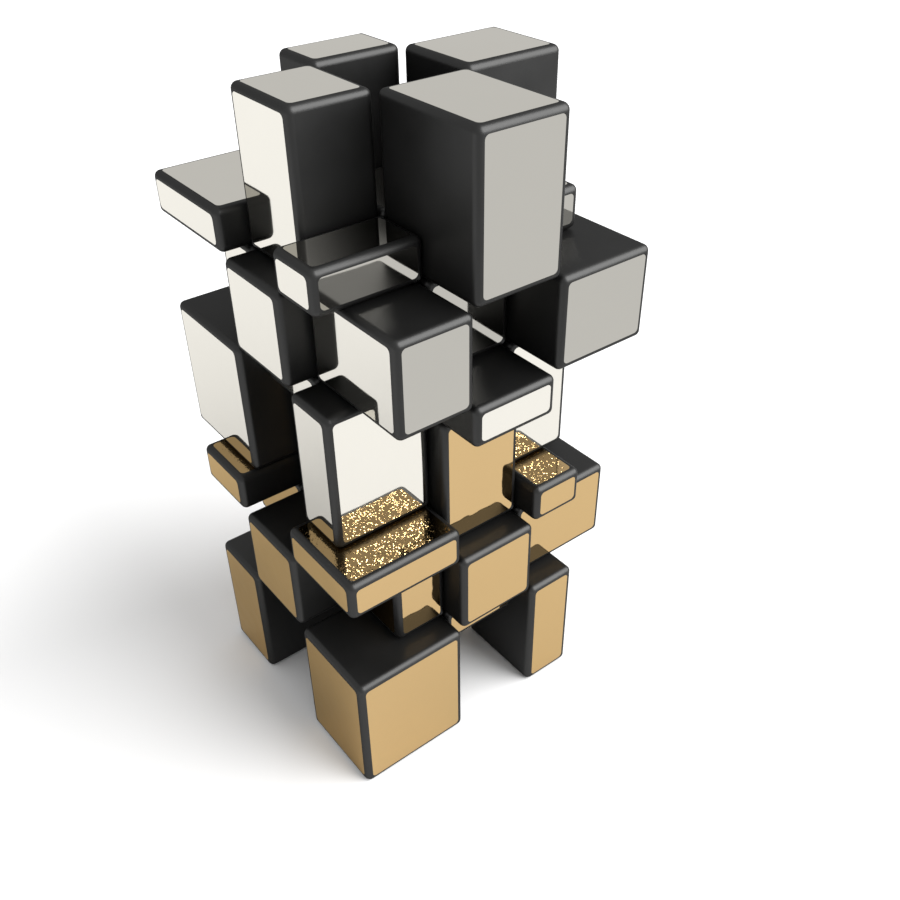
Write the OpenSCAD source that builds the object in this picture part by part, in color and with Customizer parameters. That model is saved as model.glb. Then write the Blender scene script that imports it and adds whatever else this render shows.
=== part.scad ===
// Two mirror block cubes, one standing on the other.
// Each cube is cut into 3 x 3 x 3 blocks by planes that sit off its middle, so every block has
// its own size. In both cubes every edge block has changed places with the one diagonally opposite
// to it, so tall and short blocks alternate over each side like the fields of a draughtboard.
// The raised blocks on top of the gold cube fill the hollows under the silver cube.
// All blocks of a cube ride on a ball core: corner feet hook under edges, edge feet hook under
// centres, and each centre is held by a screw and a spring.

/* [Blocks] */
// Distance between two neighbouring cutting planes, which is the width of a centre block
cell = 19; // [18.8:0.1:19.6]
// How far the planes across the cube's width sit off its middle
shift_width = 6.75; // [6.3:0.05:7.2]
// How far the planes across the cube's depth sit off its middle
shift_depth = 2.85; // [2.4:0.05:3.3]
// How far the level planes sit off the cube's middle
shift_height = 10.45; // [9.8:0.05:10.6]
// Rounding of every outer edge of a block
edge_round = 1.3; // [0.8:0.1:1.6]
// Half of the free space between two neighbouring blocks
gap = 0.1; // [0.05:0.01:0.15]

/* [Foils] */
// Thickness of a foil, which lies flush in its recess
foil_t = 0.2; // [0.1:0.05:0.3]
// Distance from a block's side to the foil
foil_inset = 1.35; // [1:0.05:1.6]
// Corner radius of a foil
foil_corner = 0.9; // [0.5:0.1:1.5]

/* [Mechanism] */
// Radius of the ball-shaped surface inside which the feet run
shell_r = 18; // [17.9:0.05:18.2]
// Distance from the core's middle to the planes that part the feet
foot_cut = 6.4; // [6:0.1:6.8]
// Radius of the surface on which the feet slide round the core
core_r = 10.4; // [10:0.1:10.6]
// Half of the running clearance between feet, blocks and core
slip = 0.12; // [0.08:0.01:0.15]
// Radius of the screw's shank
screw_r = 1.25; // [1:0.05:1.4]
// Radius of the screw's head
head_r = 2.7; // [2.4:0.1:2.8]
// Radius of the well that holds spring and screw head
well_r = 3.4; // [3.2:0.1:3.6]
// Radius of the cap that closes a well
cap_r = 5.2; // [4.6:0.1:5.4]

/* [Hidden] */
half = cell / 2;
span = 3 * cell;
SHIFTS = [shift_width, shift_depth, shift_height];
SIDES = [-1, 0, 1];
TURN = 90;
gold_z = span / 2 + shift_height;
silver_z = gold_z + span;

neck_r = shell_r + 1;
web_t = 1.7;
web_top = core_r + slip + web_t;
spring_play = 0.05;
spring_room = 2.5;
head_low = web_top + spring_room;
head_t = 1.6;
cross_w = 0.6;
cross_l = 3.6;
cross_deep = 0.8;
screw_tip = 4;
pilot_play = 0.05;
bore_play = 0.2;
cap_t = 1.2;
cap_play = 0.05;
cap_seat = 0.03;
wire_r = 0.2;
coil_r = 2.2;
coil_turns = 3;
coil_steps = 14;
wire_sides = 8;
past = 1;

// Steps round a circle: on the balls, on wide and narrow bores, and on a block's edges
ball_fn = 96;
wide_fn = 64;
bore_fn = 48;
edge_fn = 40;

plastic = [0.11, 0.11, 0.115];
core_plastic = [0.75, 0.75, 0.72];
steel = [0.62, 0.62, 0.64];
gold_foil = [0.85, 0.71, 0.50];
silver_foil = [0.80, 0.80, 0.77];

// A cell is named by three steps from the core, each -1, 0 or 1: left to right, front to back, up.
function steps(c) = abs(c[0]) + abs(c[1]) + abs(c[2]);
CELLS = [for (z = SIDES, y = SIDES, x = SIDES) if (x != 0 || y != 0 || z != 0) [x, y, z]];
BLOCKS = [for (c = CELLS) if (steps(c) > 1) c];
SIDE_CENTRES = [for (c = CELLS) if (steps(c) == 1 && c[2] == 0) c];
TOP = [0, 0, 1];
BOTTOM = [0, 0, -1];

CUBES = ["gold", "silver"];
LAYERS = ["bottom", "middle", "top"];
function part(cube, rest) = str(cube, "_", rest);
function word(step, low, high) = step < 0 ? str(low, "_") : step > 0 ? str(high, "_") : "";
function block_name(cube, c) = part(cube, str(
    word(c[2], "bottom", "top"), word(c[1], "front", "back"), word(c[0], "left", "right"),
    steps(c) == 3 ? "corner" : "edge"));
function foils_name(cube, z) = part(cube, str(LAYERS[z + 1], "_foils"));

// The silver cube stands a quarter turn round from the gold one. This gives the cell of the cube's
// own frame that lies at cell c of the tower.
function own(cube, c) = cube == "gold" ? c : [-c[1], c[0], c[2]];

// Distance from the core to the outer face of a block on one side. Edge blocks have changed
// places with their opposites, so they have the reach of the other side.
function reach(axis, side, swapped) = span / 2 - side * (swapped ? -1 : 1) * SHIFTS[axis];
function low(c) = [for (i = [0:2])
    c[i] < 0 ? -reach(i, -1, steps(c) == 2) : c[i] > 0 ? half + gap : -half + gap];
function high(c) = [for (i = [0:2])
    c[i] > 0 ? reach(i, 1, steps(c) == 2) : c[i] < 0 ? -half - gap : half - gap];

// The column through a cell: outside the plane at "from" along the axes it steps along, and
// between the planes at "within" along the others.
function column_low(c, from, within) = [for (i = [0:2])
    c[i] < 0 ? low(c)[i] : c[i] > 0 ? from : -within];
function column_high(c, from, within) = [for (i = [0:2])
    c[i] > 0 ? high(c)[i] : c[i] < 0 ? -from : within];

module place(cube) {
    translate([0, 0, cube == "gold" ? gold_z : silver_z])
        rotate([0, 0, cube == "gold" ? 0 : -TURN]) children();
}

module box_between(from, to) {
    translate(from) cube(to - from);
}

module round_rectangle(w, h, r) {
    translate([r, 0]) square([w - 2 * r, h]);
    translate([0, r]) square([w, h - 2 * r]);
    for (x = [r, w - r], y = [r, h - r])
        translate([x, y]) circle(r = r, $fn = edge_fn);
}

// What has to go from a square corner to leave it round as a ball. The corner points towards "way".
module corner_waste(way) {
    difference() {
        translate([for (s = way) s < 0 ? -past - edge_round : 0]) cube(past + edge_round);
        sphere(r = edge_round, $fn = edge_fn);
    }
}

// A box with rounded edges and corners, as the overlap of three rounded bars less its corners' waste
module round_box(from, to) {
    s = to - from;
    difference() {
        translate(from) intersection() {
            linear_extrude(s[2]) round_rectangle(s[0], s[1], edge_round);
            translate([0, s[1], 0]) rotate([90, 0, 0])
                linear_extrude(s[1]) round_rectangle(s[0], s[2], edge_round);
            rotate([90, 0, 90])
                linear_extrude(s[0]) round_rectangle(s[1], s[2], edge_round);
        }
        for (x = [0, 1], y = [0, 1], z = [0, 1])
            translate([for (i = [0:2]) [x, y, z][i] == 0 ? from[i] + edge_round : to[i] - edge_round])
                corner_waste([2 * x - 1, 2 * y - 1, 2 * z - 1]);
    }
}

// Turns the up axis towards a face of the cube and carries on outwards along it
module face_up(axis, side) {
    if (axis == 0) rotate([0, 90 * side, 0]) children();
    if (axis == 1) rotate([-90 * side, 0, 0]) children();
    if (axis == 2) rotate([side < 0 ? 180 : 0, 0, 0]) children();
}

// The foil on one outward face of the block at c, from "depth" below the face to "rise" above it
module foil_plate(c, axis, depth, rise) {
    flat = [for (i = [0:2]) i == axis ? 0 : foil_inset];
    from = low(c) + flat;
    size = high(c) - low(c) - 2 * flat;
    face = c[axis] > 0 ? high(c)[axis] : low(c)[axis];
    start = c[axis] > 0 ? face - depth : face - rise;
    thick = depth + rise;
    if (axis == 0) translate([start, from[1], from[2]]) rotate([90, 0, 90])
        linear_extrude(thick) round_rectangle(size[1], size[2], foil_corner);
    if (axis == 1) translate([from[0], start + thick, from[2]]) rotate([90, 0, 0])
        linear_extrude(thick) round_rectangle(size[0], size[2], foil_corner);
    if (axis == 2) translate([from[0], from[1], start])
        linear_extrude(thick) round_rectangle(size[0], size[1], foil_corner);
}

// The moulding of one block: its rounded body outside the shell, its foot inside it, and the neck
// that joins the two
module moulding(c) {
    difference() {
        union() {
            difference() {
                round_box(low(c), high(c));
                sphere(r = shell_r + slip, $fn = ball_fn);
            }
            intersection() {
                box_between(column_low(c, half + gap, foot_cut - slip),
                            column_high(c, half + gap, foot_cut - slip));
                sphere(r = neck_r, $fn = ball_fn);
            }
            intersection() {
                box_between(column_low(c, foot_cut + slip, foot_cut - slip),
                            column_high(c, foot_cut + slip, foot_cut - slip));
                sphere(r = shell_r - slip, $fn = ball_fn);
            }
        }
        sphere(r = core_r + slip, $fn = ball_fn);
        for (axis = [0:2])
            if (c[axis] != 0) foil_plate(c, axis, foil_t, past);
    }
}

module block(c) {
    color(plastic) moulding(c);
}

// A centre block with its screw bore, its well and the cap that closes it under the foil
module centre(c) {
    axis = c[0] != 0 ? 0 : c[1] != 0 ? 1 : 2;
    top = reach(axis, c[axis], false) - foil_t;
    color(plastic) difference() {
        moulding(c);
        face_up(axis, c[axis]) {
            cylinder(r = screw_r + bore_play, h = top, $fn = bore_fn);
            translate([0, 0, web_top]) cylinder(r = well_r, h = top - web_top + foil_t / 2, $fn = wide_fn);
            translate([0, 0, top - cap_t]) cylinder(r = cap_r + cap_play, h = cap_t + foil_t / 2, $fn = wide_fn);
        }
    }
    color(plastic) face_up(axis, c[axis])
        translate([0, 0, top - cap_t + cap_seat]) cylinder(r = cap_r, h = cap_t - cap_seat, $fn = wide_fn);
}

module side_centres() {
    for (c = SIDE_CENTRES) centre(c);
}

module at_each_centre() {
    for (axis = [0:2], side = [-1, 1]) face_up(axis, side) children();
}

module core() {
    color(core_plastic) difference() {
        sphere(r = core_r - slip, $fn = ball_fn);
        at_each_centre() translate([0, 0, screw_tip])
            cylinder(r = screw_r + pilot_play, h = core_r, $fn = bore_fn);
    }
}

module screw() {
    difference() {
        union() {
            translate([0, 0, screw_tip + pilot_play])
                cylinder(r = screw_r, h = head_low - screw_tip, $fn = bore_fn);
            translate([0, 0, head_low]) cylinder(r = head_r, h = head_t, $fn = wide_fn);
        }
        for (a = [0, TURN]) rotate([0, 0, a])
            translate([-cross_l / 2, -cross_w / 2, head_low + head_t - cross_deep])
                cube([cross_l, cross_w, cross_deep + past]);
    }
}

module screws() {
    color(steel) at_each_centre() screw();
}

// A coil spring as one wire swept round a helix, flat ring after ring
module spring() {
    rings = coil_turns * coil_steps;
    bottom = web_top + spring_play + wire_r;
    rise = head_low - web_top - 2 * (spring_play + wire_r);
    points = [for (i = [0:rings]) let (a = 360 * i / coil_steps)
        for (s = [0:wire_sides - 1]) let (t = 360 * s / wire_sides, r = coil_r + wire_r * cos(t))
            [r * cos(a), r * sin(a), bottom + rise * i / rings + wire_r * sin(t)]];
    sides = [for (i = [0:rings - 1], s = [0:wire_sides - 1])
        let (next = (s + 1) % wire_sides, k = i * wire_sides)
            [k + s, k + next, k + wire_sides + next, k + wire_sides + s]];
    start = [for (s = [0:wire_sides - 1]) wire_sides - 1 - s];
    end = [for (s = [0:wire_sides - 1]) rings * wire_sides + s];
    polyhedron(points = points, faces = concat(sides, [start, end]));
}

module springs() {
    color(steel) at_each_centre() spring();
}

// All foils of one layer, one on every outward face of its blocks
module foils(cube, z) {
    color(cube == "gold" ? gold_foil : silver_foil)
        for (c = CELLS, axis = [0:2])
            if (c[2] == z && c[axis] != 0) foil_plate(c, axis, foil_t, 0);
}

for (cube = CUBES) {
    for (c = BLOCKS)
        place(cube) block(own(cube, c));
    place(cube) centre(TOP);
    place(cube) centre(BOTTOM);
    place(cube) side_centres();
    place(cube) core();
    place(cube) screws();
    place(cube) springs();
    for (z = SIDES)
        place(cube) foils(cube, z);
}
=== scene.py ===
import math

import bpy
from mathutils import Matrix, Vector

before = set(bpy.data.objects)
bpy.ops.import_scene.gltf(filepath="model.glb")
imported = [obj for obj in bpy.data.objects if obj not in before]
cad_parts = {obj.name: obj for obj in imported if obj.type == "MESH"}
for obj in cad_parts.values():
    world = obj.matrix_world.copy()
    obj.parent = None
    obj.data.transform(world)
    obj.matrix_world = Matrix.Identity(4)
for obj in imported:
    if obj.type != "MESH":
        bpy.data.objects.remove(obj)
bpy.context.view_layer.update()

# ---------------------------------------------------------------- sizes, in metres
MM = 0.001

# Camera: where it stands, which way it looks, and its lens
CAMERA_PLACE = Vector((-98.3, -143.3, 180.6)) * MM
LOOK_AZIMUTH = math.radians(52.433)     # from +X towards +Y
LOOK_ELEVATION = math.radians(-36.19)   # below the horizon
LOOK_ROLL = math.radians(-0.81)
LENS_MM = 39.42
SENSOR_MM = 36.0
CAMERA_NEAR = 0.005
CAMERA_FAR = 10.0

# Floor: a pale sheet in two parts, of which the mirror faces see only the back one
FLOOR_REACH = 1.6
FLOOR_FRONT = -0.134
FLOOR_ALBEDO = 0.80

# Light: an even grey room, one broad soft light, and a small one that only the foils see
ROOM_LEVEL = 0.80
KEY_AZIMUTH = math.radians(-45.8)
KEY_ELEVATION = math.radians(31.3)
KEY_SPREAD = math.radians(64)
KEY_STRENGTH = 6.08
GLINT_AZIMUTH = math.radians(-56)
GLINT_ELEVATION = math.radians(32)
GLINT_SPREAD = math.radians(9)
GLINT_STRENGTH = 0.55

# Colours, linear
SILVER = (0.643, 0.624, 0.573)
GOLD = (0.488, 0.341, 0.168)
BLACK_PLASTIC = (0.0435, 0.0435, 0.0430)
PLASTIC_GLOSS = 0.87            # share of the tone that is gloss, the rest is matt
PLASTIC_EDGE = 0.53             # edge tint, under 1 to hold the grazing reflection down
CORE_WHITE = (0.72, 0.72, 0.69)
STEEL = (0.60, 0.60, 0.58)

# Levelled edge tint of the foils
SCHLICK_AT_82 = 0.4627          # Schlick's weight at 82 degrees, where the edge tint applies
LEVELLING = 0.2875              # share of the rise towards the edge that is taken back

# Foils: their waves, their smudges and the flecks of the glitter
SWELL_WIDTH = 11 * MM
SILVER_SWELL = 0.09 * MM
GOLD_SWELL = 0.12 * MM
RIPPLE_WIDTH = 4 * MM
RIPPLE = 0.05 * MM
SMUDGE_WIDTH = 7 * MM
SMUDGE_RANGE = (0.35, 0.75)
SMUDGE_ROUGHNESS = (0.03, 0.06)
FLECK_SIZE = 0.18 * MM
FLECK_SHARE = 0.38
FLECK_LEAN = 0.12
UPWARD = (0.90, 0.95)           # upward part of the normal, from "not upward" to "upward"
UPWARD_WAVES = 0.3              # share of the waves that is left on upward gold foils

# Plastics and steel: the part of the flow noise that carries the change in roughness
FLOW_RANGE = (0.3, 0.7)


# ---------------------------------------------------------------- node helpers
class Shader:
    """A material's node tree, with short calls to add nodes and join them."""

    def __init__(self, name):
        self.material = bpy.data.materials.new(name)
        self.material.use_nodes = True
        self.tree = self.material.node_tree
        self.surface = self.tree.nodes["Principled BSDF"]
        coordinates = self.add("ShaderNodeTexCoord")
        self.place = coordinates.outputs["Object"]
        facing = self.add("ShaderNodeSeparateXYZ")
        self.join(coordinates.outputs["Normal"], facing.inputs["Vector"])
        self.rise = facing.outputs["Z"]

    def add(self, kind, **settings):
        node = self.tree.nodes.new(kind)
        for key, value in settings.items():
            setattr(node, key, value)
        return node

    def join(self, source, target):
        self.tree.links.new(source, target)

    def noise(self, size, detail, roughness=0.5):
        """Smooth noise from 0 to 1 whose features are about size metres across."""
        node = self.add("ShaderNodeTexNoise")
        node.inputs["Scale"].default_value = 1 / size
        node.inputs["Detail"].default_value = detail
        node.inputs["Roughness"].default_value = roughness
        self.join(self.place, node.inputs["Vector"])
        return node.outputs["Fac"]

    def span(self, source, from_low, from_high, to_low, to_high):
        """source, carried from one range to another and held inside it."""
        node = self.add("ShaderNodeMapRange")
        node.inputs["From Min"].default_value = from_low
        node.inputs["From Max"].default_value = from_high
        node.inputs["To Min"].default_value = to_low
        node.inputs["To Max"].default_value = to_high
        self.join(source, node.inputs["Value"])
        return node.outputs["Result"]

    def maths(self, operation, first, second):
        """A sum, product or comparison of two values, each a socket or a number."""
        node = self.add("ShaderNodeMath", operation=operation)
        for socket, value in zip(node.inputs, (first, second)):
            if isinstance(value, (int, float)):
                socket.default_value = value
            else:
                self.join(value, socket)
        return node.outputs["Value"]

    def tint(self, factor, low, high):
        """A colour between low and high."""
        node = self.add("ShaderNodeMix", data_type="RGBA")
        self.join(factor, node.inputs["Factor"])
        node.inputs["A"].default_value = (*low, 1.0)
        node.inputs["B"].default_value = (*high, 1.0)
        return node.outputs["Result"]

    def bump(self, height, depth, below=None):
        """Raises the surface by height (0 to 1) times depth metres."""
        node = self.add("ShaderNodeBump")
        node.inputs["Strength"].default_value = 1.0
        node.inputs["Distance"].default_value = depth
        self.join(height, node.inputs["Height"])
        if below is not None:
            self.join(below, node.inputs["Normal"])
        return node.outputs["Normal"]

    def vectors(self, operation, first, second=None, scale=None):
        """The same for vectors: second is a socket or a tuple, scale a socket."""
        node = self.add("ShaderNodeVectorMath", operation=operation)
        self.join(first, node.inputs[0])
        if isinstance(second, tuple):
            node.inputs[1].default_value = second
        elif second is not None:
            self.join(second, node.inputs[1])
        if scale is not None:
            self.join(scale, node.inputs["Scale"])
        return node.outputs["Vector"]

    def flecks(self, normal, size, share, lean, where):
        """Leans a share of the flecks, about size metres wide, each its own way, where "where" is 1."""
        cells = self.add("ShaderNodeTexVoronoi")
        cells.inputs["Scale"].default_value = 1 / size
        self.join(self.place, cells.inputs["Vector"])
        lot = self.add("ShaderNodeSeparateXYZ")
        self.join(cells.outputs["Color"], lot.inputs["Vector"])
        chosen = self.maths("MULTIPLY", self.maths("LESS_THAN", lot.outputs["Z"], share), where)
        level = self.vectors("SUBTRACT", cells.outputs["Color"], (0.5, 0.5, 0.5))
        leaning = self.vectors("SCALE", level, scale=self.maths("MULTIPLY", chosen, 2 * lean))
        return self.vectors("NORMALIZE", self.vectors("ADD", normal, leaning))

    def set(self, **values):
        """Sets or joins sockets of the Principled surface, such as base_color or roughness."""
        for key, value in values.items():
            socket = self.surface.inputs[key.replace("_", " ").title().replace("Ior", "IOR")]
            if isinstance(value, bpy.types.NodeSocket):
                self.join(value, socket)
            else:
                socket.default_value = (*value, 1.0) if isinstance(value, tuple) else value


def shade(colour, factor):
    """colour, made lighter or darker."""
    return tuple(channel * factor for channel in colour)


def level_edge(colour):
    """The edge tint that keeps a metal of this colour from whitening towards grazing angles."""
    return tuple(1 - LEVELLING * (1 - c) / (c + (1 - c) * SCHLICK_AT_82) for c in colour)


# ---------------------------------------------------------------- materials
def grained(name, colour, flow, tones, roughness, grain, **settings):
    """A material whose tone and roughness vary along a flow pattern, under a fine grain.

    flow is the pattern's (width, detail), grain the (width, detail, depth) of the bumps, and tones
    and roughness are the two ends between which they vary."""
    s = Shader(name)
    flow_width, flow_detail = flow
    pattern = s.noise(flow_width, flow_detail)
    s.set(base_color=s.tint(pattern, shade(colour, tones[0]), shade(colour, tones[1])))
    s.set(roughness=s.span(pattern, *FLOW_RANGE, *roughness))
    grain_width, grain_detail, depth = grain
    s.set(normal=s.bump(s.noise(grain_width, grain_detail), depth))
    s.set(**settings)
    return s.material


def block_plastic():
    """Satin black ABS with a fine moulded grain and slight flow variation."""
    return grained(
        "block_plastic_look", BLACK_PLASTIC,
        flow=(9 * MM, 3), tones=(0.9, 1.1), roughness=(0.38, 0.44), grain=(0.16 * MM, 1, 0.0016 * MM),
        metallic=PLASTIC_GLOSS, specular_ior_level=0.0, specular_tint=(PLASTIC_EDGE,) * 3)


def core_plastic():
    """Off-white nylon of the core, a little waxy."""
    return grained(
        "core_plastic_look", CORE_WHITE,
        flow=(4 * MM, 3), tones=(0.94, 1.03), roughness=(0.42, 0.52), grain=(0.2 * MM, 1, 0.002 * MM))


def steel():
    """Bright zinc-plated steel of the screws and springs."""
    return grained(
        "steel_look", STEEL,
        flow=(1.5 * MM, 4), tones=(0.9, 1.08), roughness=(0.22, 0.34), grain=(0.12 * MM, 2, 0.0015 * MM),
        metallic=1.0)


def foil(name, colour, swell, glitter=False):
    """Vacuum-metallised foil: almost a mirror, not quite flat, with faint handling smudges.

    With glitter it also has short waves, and flecks on the faces that look up."""
    s = Shader(name)
    smudges = s.noise(SMUDGE_WIDTH, detail=4, roughness=0.6)
    s.set(metallic=1.0, specular_tint=level_edge(colour))
    s.set(base_color=s.tint(smudges, shade(colour, 1.01), shade(colour, 0.99)))
    s.set(roughness=s.span(smudges, *SMUDGE_RANGE, *SMUDGE_ROUGHNESS))
    waves = s.noise(SWELL_WIDTH, detail=0)
    if glitter:
        upward = s.span(s.rise, *UPWARD, 0.0, 1.0)
        slack = s.span(s.rise, *UPWARD, 1.0, UPWARD_WAVES)
        ripples = s.noise(RIPPLE_WIDTH, detail=1)
        normal = s.bump(s.maths("MULTIPLY", waves, slack), swell)
        normal = s.bump(s.maths("MULTIPLY", ripples, slack), RIPPLE, below=normal)
        normal = s.flecks(normal, FLECK_SIZE, FLECK_SHARE, FLECK_LEAN, upward)
    else:
        normal = s.bump(waves, swell)
    s.set(normal=normal)
    return s.material


def floor_paper():
    """Matt white paper sweep."""
    s = Shader("floor_paper")
    s.set(base_color=(FLOOR_ALBEDO,) * 3, roughness=1.0, specular_ior_level=0.0)
    return s.material


def dress_nodes():
    """Gives every CAD node the finished material of its slot."""
    looks = {
        "block_plastic": block_plastic(),
        "gold_foil": foil("gold_foil_look", GOLD, GOLD_SWELL, glitter=True),
        "silver_foil": foil("silver_foil_look", SILVER, SILVER_SWELL),
        "core_plastic": core_plastic(),
        "steel": steel(),
    }
    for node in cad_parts.values():
        for place in node.material_slots:
            place.material = looks[place.material.name.split(".")[0]]


# ---------------------------------------------------------------- stage
def pointing(azimuth, elevation):
    """The unit vector at azimuth, from +X towards +Y, and at elevation above the floor."""
    flat = math.cos(elevation)
    return Vector((flat * math.cos(azimuth), flat * math.sin(azimuth), math.sin(elevation)))


def sheet(name, low, high, material):
    """A flat rectangle on the floor between two corners."""
    corners = [(low[0], low[1], 0), (high[0], low[1], 0), (high[0], high[1], 0), (low[0], high[1], 0)]
    mesh = bpy.data.meshes.new(name)
    mesh.from_pydata(corners, [], [(0, 1, 2, 3)])
    mesh.materials.append(material)
    piece = bpy.data.objects.new(name, mesh)
    bpy.context.scene.collection.objects.link(piece)
    return piece


def floor():
    """Both parts of the floor. The front one takes light and shadow, and mirrors don't see it."""
    paper = floor_paper()
    sheet("floor_back", (-FLOOR_REACH, FLOOR_FRONT), (FLOOR_REACH, FLOOR_REACH), paper)
    front = sheet("floor_front", (-FLOOR_REACH, -FLOOR_REACH), (FLOOR_REACH, FLOOR_FRONT), paper)
    front.visible_glossy = False


def room():
    """An even grey all round, which is what most of the foils reflect."""
    world = bpy.data.worlds.new("room")
    world.use_nodes = True
    background = world.node_tree.nodes["Background"]
    background.inputs["Color"].default_value = (ROOM_LEVEL,) * 3 + (1.0,)
    background.inputs["Strength"].default_value = 1.0
    bpy.context.scene.world = world


def sun(name, direction, strength, spread):
    """A distant light, as wide in the sky as spread says."""
    data = bpy.data.lights.new(name, "SUN")
    data.energy = strength
    data.angle = spread
    light = bpy.data.objects.new(name, data)
    light.rotation_mode = "QUATERNION"
    light.rotation_quaternion = direction.to_track_quat("Z", "Y")
    bpy.context.scene.collection.objects.link(light)
    return light


def lights():
    """The broad light makes the tone and the shadow and leaves the foils out. The small one reaches
    only the foils, where it makes the glitter."""
    key = sun("key", pointing(KEY_AZIMUTH, KEY_ELEVATION), KEY_STRENGTH, KEY_SPREAD)
    mirrors = bpy.data.collections.new("mirrors")
    for name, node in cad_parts.items():
        if name.endswith("_foils"):
            mirrors.objects.link(node)
    glittering = mirrors.copy()             # copied first, so its links stay included
    key.light_linking.receiver_collection = mirrors
    for link in mirrors.collection_objects:
        link.light_linking.link_state = "EXCLUDE"
    glint = sun("glint", pointing(GLINT_AZIMUTH, GLINT_ELEVATION), GLINT_STRENGTH, GLINT_SPREAD)
    glint.light_linking.receiver_collection = glittering


def camera():
    """Stands in front, to the left and above, looking down at the object."""
    data = bpy.data.cameras.new("camera")
    data.sensor_width = SENSOR_MM
    data.lens = LENS_MM
    data.clip_start = CAMERA_NEAR
    data.clip_end = CAMERA_FAR
    look = pointing(LOOK_AZIMUTH, LOOK_ELEVATION)
    seen = bpy.data.objects.new("camera", data)
    seen.matrix_world = (
        Matrix.Translation(CAMERA_PLACE)
        @ look.to_track_quat("-Z", "Y").to_matrix().to_4x4()
        @ Matrix.Rotation(LOOK_ROLL, 4, "Z")
    )
    bpy.context.scene.collection.objects.link(seen)
    bpy.context.scene.camera = seen


camera()
floor()
room()
lights()
dress_nodes()
bpy.context.scene.view_settings.view_transform = "Standard"
